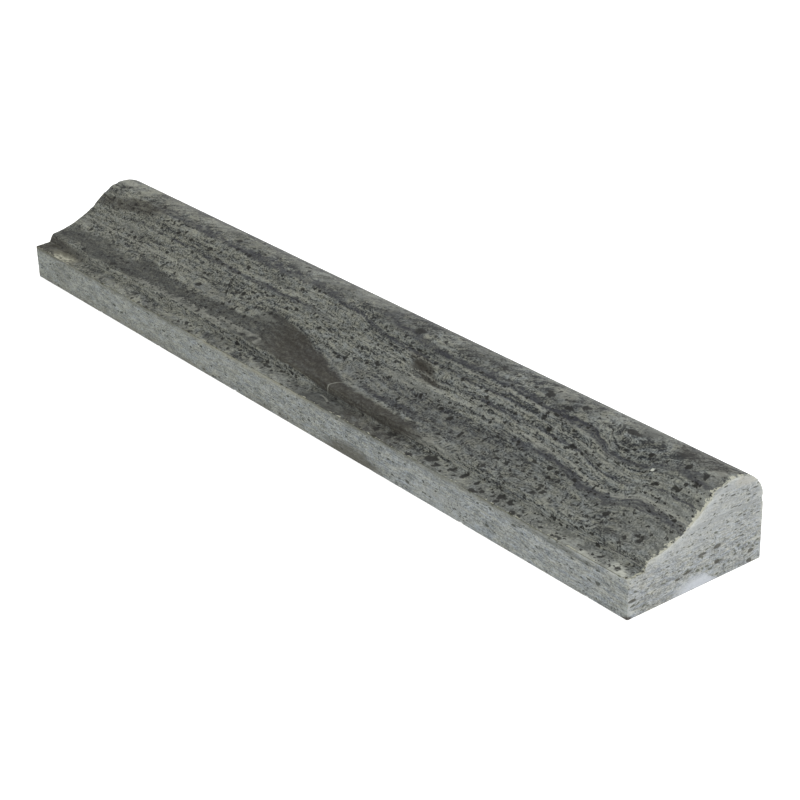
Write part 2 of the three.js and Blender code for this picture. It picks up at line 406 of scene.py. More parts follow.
def keep_used_materials(mesh):
    used = sorted({face.material_index for face in mesh.polygons})
    kept = [mesh.materials[i] for i in used]
    indices = [used.index(face.material_index) for face in mesh.polygons]
    mesh.materials.clear()
    for material in kept:
        mesh.materials.append(material)
    mesh.polygons.foreach_set("material_index", indices)


def moulded_bar(finishes):
    tree = moulding_tree()
    host = put("moulding host", bpy.data.meshes.new("moulding host"))
    section = section_object()
    lines = arris_lines()
    modifier = host.modifiers.new("moulding", "NODES")
    modifier.node_group = tree
    values = {
        "Section": section,
        "Solid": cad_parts[TILE],
        "Arris lines": lines,
        "Length": LENGTH * MM,
        "Front": FRONT * MM,
        "Back": BACK * MM,
        "Inset": INSET * MM,
        "Relief": RELIEF * MM,
        "Arris wear": ARRIS_WEAR * MM,
        "Seed": WEAR_SEED,
        **GRID,
        **finishes,
    }
    for item in tree.interface.items_tree:
        if item.in_out == "INPUT":
            modifier[item.identifier] = values[item.name]
    host.update_tag()
    view = bpy.context.evaluated_depsgraph_get()
    made = host.evaluated_get(view)
    mesh = bpy.data.meshes.new_from_object(made, preserve_all_data_layers=True, depsgraph=view)
    for scrap in (host, section, lines):
        bpy.data.objects.remove(scrap)
    keep_used_materials(mesh)
    return put("banded_slate_bar", mesh)


# ---- The stone ----

def linear(code):
    """The scene-linear colour of an sRGB hex code."""
    shares = [int(code[i:i + 2], 16) / 255 for i in (1, 3, 5)]
    return (*(s / 12.92 if s <= 0.04045 else ((s + 0.055) / 1.055) ** 2.4 for s in shares), 1)


# The minerals, with the colour of each in every finish, in the order of FINISHES. The sawn end's colours
# are paler than the sawn edge's, partly the stone's own and partly painted light for the light that falls
# on the right end.
MINERALS = {
    "Dark ground": ("#636664", "#1f2122", "#7c7d76", "#6f7170"),
    "Pale ground": ("#989b98", "#7e8079", "#abaca3", "#a5a7a4"),
    "Soft bed": ("#666a67", "#2b2c2a", "#83827a", "#7c807e"),
    "Brown lens": ("#52514a", "#292620", "#6f6b62", "#7a7a74"),
    "Vein": ("#646a6c", "#2b2c31", "#83868a", "#858887"),
    "Thread": ("#949892", "#8a8b82", "#b3b4a8", "#a5a8a6"),
    "Clot": ("#42443f", "#100f0c", "#52514a", "#55574f"),
    "Quartz": ("#a5a7a1", "#b2b4aa", "#c0c1b8", "#b4b6b2"),
}

# Heights in millimetres, as (x, height) points along the bar. The beds dip towards the right end and
# sag once near it. The dark bed swells into a lens in the middle of the bar.
DIP = (
    (-END, 0), (-30, 0), (0, -0.7), (9, -1.7), (23, -2.5), (44, -3), (80, -3), (102, -3.1), (113, -4.5),
    (122, -5.5), (128, -5.1), (136, -3.3), (144, -3), (END, -3.8),
)
DARK_BED_TOP = (
    (-END, 15.9), (-140, 16.4), (-128, 17.2), (-112, 16.5), (-99, 17.2), (-84, 16.5), (-54, 16.6),
    (-37, 17.3), (-32, 19.2), (-21, 18.85), (-10.7, 18.3), (0, 17.45), (7, 17.2), (13, 17.1), (18, 16.9),
    (42, 16.75), (53, 16.6), (62, 16.3), (72, 15.2), (84, 12.5), (END, 12),
)
DARK_BED_FOOT = ((-END, 14.6), (0, 14.6), (10, 14.3), (20, 13.9), (44, 13.9), (70, 14), (END, 14))

# Thin dark veins and thin pale threads: middle height, half thickness, and where along the bar each
# comes and goes. Some come or go past its ends.
PAST_LEFT, PAST_RIGHT = -170, 170
VEINS = (
    (27.25, 0.45, -118, -8), (27.25, 0.26, -8, 84), (29.55, 0.5, 10, 100), (29.45, 0.75, 92, 132),
    (29.5, 0.6, 132, PAST_RIGHT), (21.05, 0.75, 82, PAST_RIGHT), (22.95, 0.2, -122, -84),
    (22.85, 0.5, -78, -12), (26.3, 0.3, PAST_LEFT, -147), (23.7, 0.25, PAST_LEFT, -146),
    (28.1, 0.13, 46, 84), (24.9, 0.2, 60, PAST_RIGHT), (15, 0.12, 90, PAST_RIGHT),
)
THREADS = (
    (18.9, 0.16, PAST_LEFT, -70), (14.8, 0.2, -98, -44), (16.1, 0.35, 58, 80), (14.6, 0.3, 56, 84),
    (14.7, 0.25, 126, PAST_RIGHT), (22.6, 0.28, 30, 96), (22.15, 0.3, 92, PAST_RIGHT),
    (28.65, 0.25, 44, 118), (24.1, 0.15, -60, 120), (26.6, 0.16, 20, 150),
)

# Where a pale selvage shows on the swollen bed.
SELVAGE = (12, 33)

# Lenses and stains as ellipsoids: middle, half sizes, mineral, strength, and for a few a tilt along the
# bar. Some run right through it.
THROUGH = math.inf
LENSES = (
    ((37, 0, 23.3), (6.5, THROUGH, 1), "Brown lens", 0.9, -0.12),
    ((40, 0, 21.9), (8, THROUGH, 0.95), "Brown lens", 0.9, -0.12),
    ((42, 0, 20.7), (8, THROUGH, 0.5), "Brown lens", 0.6),
    ((40, 0, 15.8), (15, THROUGH, 0.35), "Vein", 0.5),
    ((-134, 0, 25.2), (19, THROUGH, 1.6), "Brown lens", 0.75, 0.09),
    ((-146, 0, 12.6), (20, THROUGH, 1.7), "Brown lens", 0.9),
    ((37, FRONT, 0), (14, 19, 4.4), "Brown lens", 1.0),
    ((20, FRONT, 12.4), (15, 8, 1.3), "Soft bed", 0.95),
    ((43, FRONT, 12.4), (19, 8, 1.3), "Brown lens", 0.75),
    ((42, 0, 19.2), (18, THROUGH, 0.8), "Pale ground", 0.6),
    ((18.5, -20.3, 12.1), (3.2, 0.5, 1.5), "Thread", 0.6),
    ((46, 0, 16.9), (46, THROUGH, 1.5), "Vein", 0.35),
    ((-62, 0, 17.3), (13, THROUGH, 0.9), "Vein", 0.3),
    ((-6, FRONT, 12), (16, 6, 1.2), "Pale ground", 0.45),
    ((-38, 0, 15.2), (16, THROUGH, 0.2), "Thread", 0.7),
    ((-50, 0, 13.3), (58, THROUGH, 0.5), "Thread", 0.22),
    ((-34, 0, 18), (6, THROUGH, 0.45), "Pale ground", 0.5),
    ((98, 0, 16.6), (58, THROUGH, 1.9), "Soft bed", 0.25),
    ((146, -2, 20), (16, 20, 10), "Pale ground", 0.3),
    ((112, FRONT, 12), (44, 8, 1.4), "Pale ground", 0.48),
    ((124, FRONT, 11.8), (4, 2.2, 1.2), "Thread", 0.6),
    ((136.5, FRONT, 11.8), (5, 2.2, 1), "Quartz", 0.6),
    ((147.5, FRONT, 11.9), (4.5, 3.4, 1), "Quartz", 0.85),
    ((126, FRONT, 10.2), (19, 3, 0.8), "Clot", 0.5),
    ((END, 0, 20), (6, 15, 8), "Pale ground", 0.25),
    ((END, FRONT + 0.3, 3.6), (1.8, 1.8, 1.8), "Thread", 0.7),
    ((END, FRONT + 1.3, 1.9), (1.3, 1.2, 0.9), "Quartz", 0.8),
    ((80, FRONT, 3), (14, 6, 3), "Pale ground", 0.45),
    ((-134, FRONT, 7), (5, 9, 3.5), "Brown lens", 0.35),
    ((-65, FRONT, 12), (17, 2.4, 1.2), "Soft bed", 0.5),
    ((-126, -18.5, 13.5), (16, 1.5, 1.6), "Pale ground", 0.35),
    ((18, 12, HEIGHT), (13, 4, 4), "Soft bed", 0.55),
    ((140, 15, HEIGHT), (12, 4, 4), "Brown lens", 0.5),
    ((86.5, 13.8, HEIGHT), (5, 1.7, 2), "Thread", 0.9),
    ((-26, 16, HEIGHT), (20, 6, 5), "Pale ground", 0.3),
    ((147.8, 11.5, HEIGHT), (2.4, 2, 2), "Thread", 0.7),
    ((-147, 14.5, HEIGHT), (4.5, 2.6, 3), "Thread", 0.8),
    ((-110, 17, HEIGHT), (12, 5, 4), "Thread", 0.45),
    *(((x, 17, HEIGHT), (half, 5, 4), "Pale ground", force) for x, half, force in (
        (-86, 9, 0.5), (-38, 9, 0.45), (1, 9, 0.6), (-53, 8, 0.4), (118, 9, 0.5),
    )),
    ((49, 17, HEIGHT), (10, 6, 4), "Soft bed", 0.5),
    *(((x, y, HEIGHT), (half, 3, 3), "Soft bed", 0.45) for x, y, half in (
        (-70, 12, 11), (-15, 12, 12), (93, 11.5, 14), (60, 12, 8),
    )),
    ((38, 0, 26.2), (22, THROUGH, 1.2), "Soft bed", 0.25),
    ((50, 0, 24.3), (10, THROUGH, 0.9), "Soft bed", 0.35),
    ((-39, 0, 24.8), (9, THROUGH, 1), "Soft bed", 0.3),
    ((-12, 0, 22.7), (9, THROUGH, 1), "Pale ground", 0.4),
    ((113, 0, 22.4), (10, THROUGH, 1), "Pale ground", 0.4),
    ((-125, 0, 20.8), (9, THROUGH, 1), "Pale ground", 0.4),
    ((141, 0, 20.6), (8, THROUGH, 1.2), "Pale ground", 0.3),
    ((-39, -21.5, 12), (8, 3, 1.2), "Soft bed", 0.5),
    ((-123, FRONT, 11.8), (6, 1.3, 0.7), "Thread", 0.45),
    ((149, 8, 26.3), (4.5, 4, 1.6), "Thread", 0.35),
    ((69, 0, 13.9), (11, THROUGH, 0.55), "Pale ground", 0.6),
    ((-149, 0, 17.8), (6.5, THROUGH, 0.8), "Thread", 0.35),
    ((-112, -21.5, 12), (8, 3, 1.2), "Soft bed", 0.25),
)

# The clots that stand out on the moulding, and the bright specks, as (x, y, half length, half width).
CLOTS = (
    (146, 9, 1.2, 1.2), (139.5, 9.5, 0.9, 0.9), (141, 3, 1.5, 0.9), (145.5, 5.5, 1.2, 0.5),
    (98, 12, 1.6, 0.9), (84.5, 10.5, 1.5, 1.2), (94, 9, 1.5, 0.8), (93, 2, 0.8, 0.8),
    (117, 11.5, 2.4, 1.2), (120, -5.5, 0.5, 1), (109, -14, 0.8, 1), (69.5, -20.5, 2.3, 2),
    (62.5, -23.5, 1.6, 0.8), (73, -22, 1.2, 0.9), (78.5, -20, 0.8, 1), (83.5, -20, 1.1, 1.3),
    (88.5, -20, 0.9, 1.1), (91, -23.5, 1.5, 0.7), (99, -20, 1.3, 0.9), (103, -20.5, 1.3, 1.1),
    (100, -22.5, 1.1, 0.8), (107.5, -23.5, 1.2, 0.9), (118, -18.5, 1.2, 0.7), (125, -23.5, 1.4, 0.7),
    (139.5, -21.5, 0.7, 1.3), (86.5, -16, 0.9, 1.1), (107, -13.5, 0.7, 1.1), (130, -10.5, 0.9, 1.2),
    (144.5, -12.5, 0.7, 1.6), (104, 1, 1.3, 0.8), (69.5, -10, 0.8, 1.4), (61.5, -7.5, 1.2, 0.8),
    (50.5, -20, 1.4, 0.9), (44.5, -20.5, 1.2, 1.2), (40, -9.5, 0.9, 1.3), (-5.5, -19, 1.1, 0.6),
    (-11.5, -20, 1.2, 0.9), (-24.5, 0, 1.2, 0.6), (-29, -1, 1, 0.6), (-46.5, -1, 1.1, 0.6),
    (-47.5, -9, 1.2, 0.8), (-57.5, 4, 0.9, 0.6), (-61.5, 7.5, 1, 0.8), (-63.5, 11, 1, 0.6),
    (-69, 8, 0.9, 0.7), (-72.5, 11, 0.9, 0.7), (-71.5, -2.5, 0.9, 0.7), (-80.5, 4, 1.3, 0.7),
    (-85.5, -7.5, 0.6, 0.9), (-87, 1, 0.8, 0.5), (-92, 4, 0.9, 0.7), (-93.5, -7, 0.5, 1.1),
    (-97, 5.5, 0.7, 1.1), (-106.5, 6, 0.6, 1), (-107, -8, 0.8, 0.6), (-127.5, -2, 0.7, 0.6),
    (30, -5, 1.1, 0.8), (22, -3, 1.3, 0.8), (26, 10.5, 2.4, 1.6), (-28, 5.5, 1.8, 0.6),
    (-71, -7, 1.5, 0.7),
)
SPECKS = ((131.1, 4.4, 0.55, 0.4), (147.5, 7.6, 0.3, 0.25))

# A brown mark at the right end's lower front corner, partly dirt and partly painted shade where the
# chipped corner meets the floor.
STAIN_AND_SHADE = {"middle": (END, FRONT, 0), "half sizes": (1.9, 1.5, 1.2)}

# The crown cuts the beds nearly level, so they show there as strokes, this far askew of the bar.
CROWN_SLANT = math.radians(33)

# The middle of the bruise on the ledge.
LEDGE_BRUISE = (-136, -22.4, 11.8)

# A crack filled with pale mineral hooks across the swollen bed: where it turns off, and how sharply.
CRACK = {"x": 16.6, "turns at y": -16.5, "hook": 0.33, "y": (-18.5, -12.8), "half width": 0.22}


def along_bar(tree, x, points):
    """A height that changes along the bar, on a smooth line through the given points."""
    heights = [height for _, height in points]
    share = add(tree, MAP_RANGE, {"Value": x, "From Min": -END, "From Max": END})
    bend = add(tree, "ShaderNodeFloatCurve", {"Value": share})
    mapping = bend.node.mapping
    line = mapping.curves[0]
    lowest, highest = min(heights), max(heights)
    places = [((x0 + END) / LENGTH, (h0 - lowest) / (highest - lowest)) for x0, h0 in points]
    line.points[0].location, line.points[1].location = places[0], places[-1]
    for place in places[1:-1]:
        line.points.new(*place)
    mapping.update()
    return add(tree, MAP_RANGE, {"Value": bend, "To Min": lowest, "To Max": highest})


def mottle(tree, spot, size, low=0.3, high=0.7, detail=2.0, roughness=0.5, seed=0.0):
    """Patches of a given size along X, Y and Z, from 0 in the low ones to 1 in the high ones."""
    scaled = add(tree, VECTOR_MATH, {0: spot, 1: tuple(1 / side for side in size)}, operation="MULTIPLY")
    moved = add(tree, VECTOR_MATH, {0: scaled, 1: (seed, seed, seed)}, operation="ADD")
    patches = add(tree, NOISE, {"Vector": moved, "Scale": 1, "Detail": detail, "Roughness": roughness})
    return add(tree, MAP_RANGE, {"Value": patches, "From Min": low, "From Max": high})


def shaken(tree, spot, size, reach, detail=1.0):
    """The same place pushed about in patches of a given size, by up to a given reach along each axis."""
    scaled = add(tree, VECTOR_MATH, {0: spot, 1: tuple(1 / side for side in size)}, operation="MULTIPLY")
    push = add(tree, NOISE, {"Vector": scaled, "Scale": 1, "Detail": detail}, output="Color")
    push = add(tree, VECTOR_MATH, {0: push, 1: (0.5, 0.5, 0.5)}, operation="SUBTRACT")
    push = add(tree, VECTOR_MATH, {0: push, 1: tuple(2 * side for side in reach)}, operation="MULTIPLY")
    return add(tree, VECTOR_MATH, {0: spot, 1: push}, operation="ADD")


def product(tree, first, *others):
    for other in others:
        first = add(tree, MATH, {0: first, 1: other}, operation="MULTIPLY")
    return first


def distance_from(tree, value, middle):
    """How far a value is from a middle, on either side of it."""
    off = add(tree, MATH, {0: value, 1: middle}, operation="SUBTRACT")
    return add(tree, MATH, {0: off}, operation="ABSOLUTE")


def nudged(tree, value, patches, reach):
    """A value moved up where patches are high and down where they are low, by up to half a reach."""
    centred = add(tree, MATH, {0: patches, 1: 0.5}, operation="SUBTRACT")
    return add(tree, MATH, {0: centred, 1: reach, 2: value}, operation="MULTIPLY_ADD")


def coated(tree, colour, coat, *masks, blend="MIX"):
    """A colour with another laid over it, where and as strongly as all the masks show it."""
    inputs = {0: product(tree, *masks), 6: colour, 7: coat}
    return add(tree, MIX, inputs, 2, data_type="RGBA", blend_type=blend)


def stretch(tree, way, start, stop, fade=7):
    """1 between two places on the way along the bar or across it, fading to 0 outside them."""
    into = add(tree, MAP_RANGE, {"Value": way, "From Min": start - fade, "From Max": start + fade})
    out = add(tree, MAP_RANGE, {"Value": way, "From Min": stop + fade, "From Max": stop - fade})
    return product(tree, into, out)


def thin_bed(tree, height, middle, thickness, x, start, stop):
    """1 inside a thin bed whose half thickness is a socket, 0 outside it."""
    off = distance_from(tree, height, middle)
    share = add(tree, MATH, {0: off, 1: thickness}, operation="DIVIDE")
    inside = add(tree, MAP_RANGE, {"Value": share, "From Min": 1.35, "From Max": 0.65})
    return product(tree, inside, stretch(tree, x, start, stop))


def ellipsoid(tree, spot, middle, half_sizes, tilt=0.0, outside=1.2, inside=0.8):
    """1 inside an ellipsoid, 0 outside it, with its edge fading between two shares of its half sizes."""
    from_middle = add(tree, VECTOR_MATH, {0: spot, 1: middle}, operation="SUBTRACT")
    if tilt:
        from_middle = add(tree, "ShaderNodeVectorRotate", {
            "Vector": from_middle, "Axis": (0, 1, 0), "Angle": math.atan(tilt),
        })
    shares = tuple(1 / side for side in half_sizes)
    within = add(tree, VECTOR_MATH, {0: from_middle, 1: shares}, operation="MULTIPLY")
    share = add(tree, VECTOR_MATH, {0: within}, output="Value", operation="LENGTH")
    return add(tree, MAP_RANGE, {"Value": share, "From Min": outside, "From Max": inside})


def on_moulding(y):
    """The height of the moulded side above a place across the bar."""
    points = moulding_points()
    for before, after in zip(points, points[1:]):
        if before.x <= y <= after.x:
            return before.y + (after.y - before.y) * (y - before.x) / (after.x - before.x)
    return HEIGHT


def spots_on_moulding(tree, spot, spots):
    """1 inside any of the spots, each given as (x, y, half length, half width)."""
    mask = 0.0
    for x, y, half_length, half_width in spots:
        half_sizes = (half_length, half_width, half_width)
        one = ellipsoid(tree, spot, (x, y, on_moulding(y)), half_sizes)
        mask = add(tree, MATH, {0: mask, 1: one}, operation="MAXIMUM")
    return mask


def scattered(tree, spot, size, radius, density):
    """Angular grains: one in each cell of a given size, kept only where its lot is below the density."""
    scaled = add(tree, VECTOR_MATH, {0: spot, 1: tuple(1 / side for side in size)}, operation="MULTIPLY")
    cells = add(tree, "ShaderNodeTexVoronoi", {"Vector": scaled, "Scale": 1}).node.outputs
    lot, size_lot, _ = add(tree, SEPARATE, {0: cells["Color"]}).node.outputs
    kept = add(tree, MATH, {0: lot, 1: density}, operation="LESS_THAN")
    grown = add(tree, MAP_RANGE, {"Value": size_lot, "To Min": 0.45 * radius, "To Max": radius})
    share = add(tree, MATH, {0: cells["Distance"], 1: grown}, operation="DIVIDE")
    grain = add(tree, MAP_RANGE, {"Value": share, "From Min": 1.15, "From Max": 0.8})
    return product(tree, grain, kept)


def banded_slate():
    """The solid pattern of the stone, in millimetres of the bar's own space."""
    tree = bpy.data.node_groups.new("banded slate", "ShaderNodeTree")
    add_sockets(tree, "INPUT", Color=MINERALS, Float=["Grains", "Banding"])
    add_sockets(tree, "OUTPUT", Color=["Colour"], Float=["Height"], Vector=["Spot"])
    given = tree.nodes.new("NodeGroupInput").outputs

    place = add(tree, "ShaderNodeTexCoord", output="Object")
    true_spot = add(tree, VECTOR_MATH, {0: place, "Scale": 1 / MM}, operation="SCALE")

    # The rock flowed a little while it was soft: a slow wander, then finer and finer crumpling.
    spot = true_spot
    for size, reach in (
        ((38, 30, 9), (3.0, 3.0, 0.5)),
        ((5.5, 4.5, 2.2), (1.1, 1.1, 0.28)),
        ((2.0, 1.7, 1.1), (0.5, 0.5, 0.12)),
    ):
        spot = shaken(tree, spot, size, reach)
    x, y, z = add(tree, SEPARATE, {0: spot}).node.outputs

    # Height in the beds, which dip less the deeper they lie.
    depth = add(tree, MAP_RANGE, {"Value": z, "From Min": 10, "From Max": 25, "To Min": 0.3})
    dip = product(tree, along_bar(tree, x, DIP), depth)
    height = add(tree, MATH, {0: z, 1: dip}, operation="SUBTRACT")
    bedded = add(tree, COMBINE, {"X": x, "Y": y, "Z": height})

    # Ground: broad beds, thin beds and strokes that stand out more towards the right, and the grain.
    grain = mottle(tree, bedded, (2.2, 1.6, 0.4), detail=3.0, roughness=0.65, seed=5)
    right = add(tree, MAP_RANGE, {"Value": x, "From Min": -110, "From Max": 60})
    banding = add(tree, MATH, {0: right, 1: 0.3, 2: 0.2}, operation="MULTIPLY_ADD")
    crown = add(tree, MAP_RANGE, {"Value": z, "From Min": 25, "From Max": 27.5})
    clouding = add(tree, MATH, {0: crown, 1: 0.35, 2: 0.12}, operation="MULTIPLY_ADD")
    tangle = add(tree, MAP_RANGE, {
        "Value": z, "From Min": 15, "From Max": 12.5, "To Min": 0.1, "To Max": 0.5,
    })
    lift = add(tree, MATH, {0: right, 1: -0.14, 2: 0.1}, operation="MULTIPLY_ADD")
    tone = add(tree, MATH, {0: crown, 1: lift, 2: 0.48}, operation="MULTIPLY_ADD")
    turned = add(tree, "ShaderNodeVectorRotate", {
        "Vector": spot, "Axis": (0, 0, 1), "Angle": -CROWN_SLANT,
    })
    strokes = mottle(tree, turned, (6, 1.5, 3), detail=3.0, roughness=0.65, seed=29)
    for patches, weight in (
        (strokes, product(tree, crown, 0.8)),
        (mottle(tree, bedded, (75, 50, 1.5), detail=1.0), product(tree, given["Banding"], 0.3)),
        (mottle(tree, bedded, (40, 30, 0.75), seed=3), product(tree, given["Banding"], 0.3)),
        (mottle(tree, bedded, (16, 11, 0.42), seed=11), product(tree, given["Banding"], banding)),
        (mottle(tree, bedded, (5.5, 4.2, 0.5), roughness=0.6, seed=7), 0.42),
        (mottle(tree, spot, (12, 9, 6), seed=13), clouding),
        (mottle(tree, spot, (3.4, 2.8, 2.2), roughness=0.6, seed=19), tangle),
        (grain, 0.6),
        (mottle(tree, spot, (0.6, 0.55, 0.42), 0.25, 0.75, detail=1.0, seed=17), 0.98),
    ):
        tone = nudged(tree, tone, patches, weight)
    colour = coated(tree, given["Dark ground"], given["Pale ground"], tone)

    # Iron turns some of it yellowish, more so on the left, and graphite some of it bluish.
    hue = mottle(tree, bedded, (3.2, 2.6, 0.8), seed=61)
    warmth = add(tree, MATH, {0: right, 1: -0.35, 2: 0.35}, operation="MULTIPLY_ADD")
    hue = add(tree, MATH, {0: hue, 1: warmth}, operation="ADD")
    tint = coated(tree, linear("#f0f5ff"), linear("#fefcf4"), hue)
    colour = coated(tree, colour, tint, 1.0, blend="MULTIPLY")

    # The dark bed has soft wavering edges. Where it swells it turns brown and its edges are crisp.
    swollen = stretch(tree, x, -24, 62, 8)
    waver = mottle(tree, spot, (9, 7, 1.6), 0.2, 0.8, seed=23)
    sway = add(tree, MAP_RANGE, {"Value": swollen, "To Min": 1.3, "To Max": 0.3})
    swayed = nudged(tree, height, waver, sway)
    below_top = add(tree, MATH, {0: along_bar(tree, x, DARK_BED_TOP), 1: swayed}, operation="SUBTRACT")
    above_foot = add(tree, MATH, {0: swayed, 1: along_bar(tree, x, DARK_BED_FOOT)}, operation="SUBTRACT")
    blur = add(tree, MAP_RANGE, {"Value": swollen, "To Min": 0.4, "To Max": 0.2})
    under_top = add(tree, MAP_RANGE, {
        "Value": below_top, "From Min": product(tree, blur, -1.0), "From Max": blur,
    })
    over_foot = add(tree, MAP_RANGE, {"Value": above_foot, "From Min": -0.2, "From Max": 0.4})
    bed = product(tree, under_top, over_foot)
    bed_colour = coated(tree, given["Soft bed"], given["Brown lens"], swollen)
    strength = add(tree, MAP_RANGE, {"Value": swollen, "To Min": 0.86, "To Max": 1.0})
    streaky = mottle(tree, bedded, (20, 14, 0.5), detail=3.0, roughness=0.6, seed=83)
    strength = add(tree, MATH, {0: streaky, 1: -0.22, 2: strength}, operation="MULTIPLY_ADD")
    speckled = add(tree, MATH, {0: grain, 1: -0.15, 2: strength}, operation="MULTIPLY_ADD")
    colour = coated(tree, colour, bed_colour, bed, speckled)

    # A pale selvage lies on the swollen bed.
    from_top = distance_from(tree, below_top, -0.22)
    selvage = add(tree, MAP_RANGE, {
        "Value": from_top, "From Min": 0.3, "From Max": 0.06, "To Max": 0.08,
    })
    colour = coated(tree, colour, given["Thread"], selvage, stretch(tree, x, *SELVAGE))

    # Lenses and stains that cut across the beds, with ragged outlines.
    ragged = shaken(tree, true_spot, (8, 6, 1.8), (5.0, 4.0, 0.8), 3.0)
    for middle, half_sizes, mineral, force, *tilt in LENSES:
        mask = ellipsoid(tree, ragged, middle, half_sizes, *tilt, outside=1.25, inside=0.75)
        kept = 0.15 if mineral in ("Thread", "Pale ground", "Quartz") else 0.7
        speckled = add(tree, MAP_RANGE, {"Value": grain, "To Min": force, "To Max": kept * force})
        colour = coated(tree, colour, given[mineral], mask, speckled)

    # Veins and threads pinch and swell.
    pinch = mottle(tree, bedded, (13, 9, 2.5), 0.25, 0.75, seed=31)
    frayed = height
    for patches in (grain, mottle(tree, spot, (1.1, 0.9, 0.6), seed=89)):
        frayed = nudged(tree, frayed, patches, 0.45)
    streaks = mottle(tree, bedded, (6, 5, 0.5), high=0.6, seed=37)
    for lines, mineral, force in ((THREADS, "Thread", 0.5), (VEINS, "Vein", 0.8)):
        worked = add(tree, MATH, {0: streaks, 1: 0.6 * force, 2: 0.4 * force}, operation="MULTIPLY_ADD")
        for middle, half, start, stop in lines:
            thickness = add(tree, MAP_RANGE, {
                "Value": pinch, "To Min": 0.45 * half, "To Max": 1.5 * half,
            })
            line = thin_bed(tree, frayed, middle, thickness, x, start, stop)
            colour = coated(tree, colour, given[mineral], line, worked)

    # The filled crack.
    _, across, _ = add(tree, SEPARATE, {0: true_spot}).node.outputs
    past_turn = add(tree, MATH, {0: across, 1: CRACK["turns at y"]}, operation="SUBTRACT")
    past_turn = add(tree, MATH, {0: past_turn, 1: 0.0}, operation="MAXIMUM")
    hook = product(tree, past_turn, past_turn, CRACK["hook"])
    unhooked = add(tree, MATH, {0: x, 1: hook}, operation="SUBTRACT")
    crack = add(tree, MAP_RANGE, {
        "Value": distance_from(tree, unhooked, CRACK["x"]),
        "From Min": 1.8 * CRACK["half width"],
        "From Max": 0.6 * CRACK["half width"],
        "To Max": 0.42,
    })
    reached = stretch(tree, across, *CRACK["y"], 0.5)
    colour = coated(tree, colour, given["Thread"], crack, reached, under_top)

    # Dark grains: many small flecks and fewer clots, all more common towards the right end. They lie
    # thicker in some beds than in others, and they are faint in the swollen bed.
    torn = shaken(tree, bedded, (0.8, 0.8, 0.8), (0.8, 0.7, 0.4), 2.0)
    rows = mottle(tree, bedded, (24, 18, 1.2), 0.42, 0.58, detail=1.0, seed=71)
    rows = add(tree, MAP_RANGE, {"Value": rows, "To Min": 0.45, "To Max": 1.35})
    rows = product(tree, rows, add(tree, MAP_RANGE, {"Value": crown, "To Min": 1.0, "To Max": 0.6}))
    dark = 0.0
    for size, radius, rare, common in (
        ((3.2, 2.7, 2.0), 0.34, 0.12, 0.34),
        ((2.3, 2.0, 1.3), 0.37, 0.26, 0.44),
        ((1.3, 1.1, 0.65), 0.38, 0.3, 0.5),
    ):
        density = add(tree, MAP_RANGE, {
            "Value": x, "From Min": -130, "From Max": 20, "To Min": rare, "To Max": common,
        })
        grains = scattered(tree, torn, size, radius, product(tree, density, rows, given["Grains"]))
        dark = add(tree, MATH, {0: dark, 1: grains}, operation="MAXIMUM")
    clear = add(tree, MATH, {0: product(tree, bed, swollen), 1: -0.85, 2: 1.0}, operation="MULTIPLY_ADD")
    dark = product(tree, dark, clear)
    jagged = shaken(tree, true_spot, (2.4, 2.4, 2.4), (1.3, 1.3, 0.8))
    jagged = shaken(tree, jagged, (0.8, 0.8, 0.8), (0.7, 0.7, 0.5), 2.0)
    dark = add(tree, MATH, {0: dark, 1: spots_on_moulding(tree, jagged, CLOTS)}, operation="MAXIMUM")
    colour = coated(tree, colour, given["Clot"], dark, 0.9)
    colour = coated(tree, colour, given["Quartz"], spots_on_moulding(tree, jagged, SPECKS), 0.85)
    # Partly dirt, partly painted shade: dark brown at the right end's lower front corner, where the chip
    # faces down to the floor.
    stain_and_shade = ellipsoid(tree, spot, STAIN_AND_SHADE["middle"], STAIN_AND_SHADE["half sizes"])
    colour = coated(tree, colour, linear("#2b231c"), stain_and_shade, 0.75)

    relief = add(tree, MATH, {0: dark, 1: -0.6, 2: grain}, operation="MULTIPLY_ADD")
    made = tree.nodes.new("NodeGroupOutput")
    for name, source in (("Colour", colour), ("Height", relief), ("Spot", spot)):
        tree.links.new(source, made.inputs[name])
    return tree


def new_stone_material(name, pattern, finish, grains, banding):
    """A finish of the stone, with a share of its dark grains and of its banding.

    Returns the material, its tree, and the stone's colour, height and spot.
    """
    material = bpy.data.materials.new(name)
    material.use_nodes = True
    tree = material.node_tree
    stone = tree.nodes.new("ShaderNodeGroup")
    stone.node_tree = pattern
    stone.inputs["Grains"].default_value = grains
    stone.inputs["Banding"].default_value = banding
    for mineral, colours in MINERALS.items():
        stone.inputs[mineral].default_value = linear(colours[FINISHES.index(finish)])
    return material, tree, *stone.outputs


def painted(material, colour, height, roughness, strength, depth):
    """The material with its colour, its roughness, a weak gleam and a fine relief of a given depth."""
    tree = material.node_tree
    shader = tree.nodes["Principled BSDF"]
    shader.inputs["Roughness"].default_value = roughness
    shader.inputs["Specular IOR Level"].default_value = 0.15
    bump = add(tree, "ShaderNodeBump", {"Height": height, "Strength": strength, "Distance": depth * MM})
    tree.links.new(bump, shader.inputs["Normal"])
    tree.links.new(colour, shader.inputs["Base Color"])
    return material


